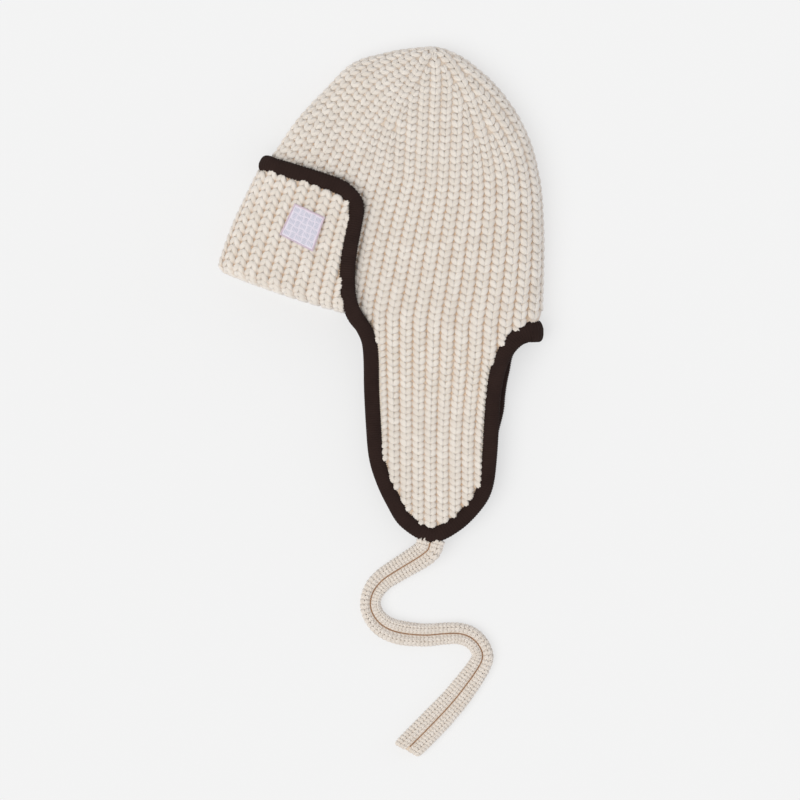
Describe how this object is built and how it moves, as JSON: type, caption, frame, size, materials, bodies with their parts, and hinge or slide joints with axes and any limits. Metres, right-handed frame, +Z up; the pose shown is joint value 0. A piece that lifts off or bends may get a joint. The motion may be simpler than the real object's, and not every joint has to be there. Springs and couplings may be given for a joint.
{
  "type": "earflap beanie",
  "caption": "Chunky rib-knit beanie with long earflaps, a turned-up front brim, dark edge binding, a square patch and a knitted tie, lying flat on its side.",
  "frame": {"origin": "on the surface the hat lies on, under the middle of the hat without its tie", "axes": "+X from the front of the hat to the back, +Y from the flap tips to the crown, +Z up from the surface, from the hat's right side to its left side"},
  "size_m": [0.2285, 0.5, 0.0434],
  "materials": {
    "knit": "chunky rib knit, matt, off-white wool blend",
    "binding": "fine rib knit, matt, dark brown",
    "label": "woven patch, slight sheen, pale lilac",
    "tie": "knitted strip with rolled edges, matt, off-white"
  },
  "bodies": {
    "root": {"knit_body": "knit", "front_brim": "knit", "edge_binding": "binding", "label_patch": "label", "near_tie": "tie"}
  },
  "joints": []
}
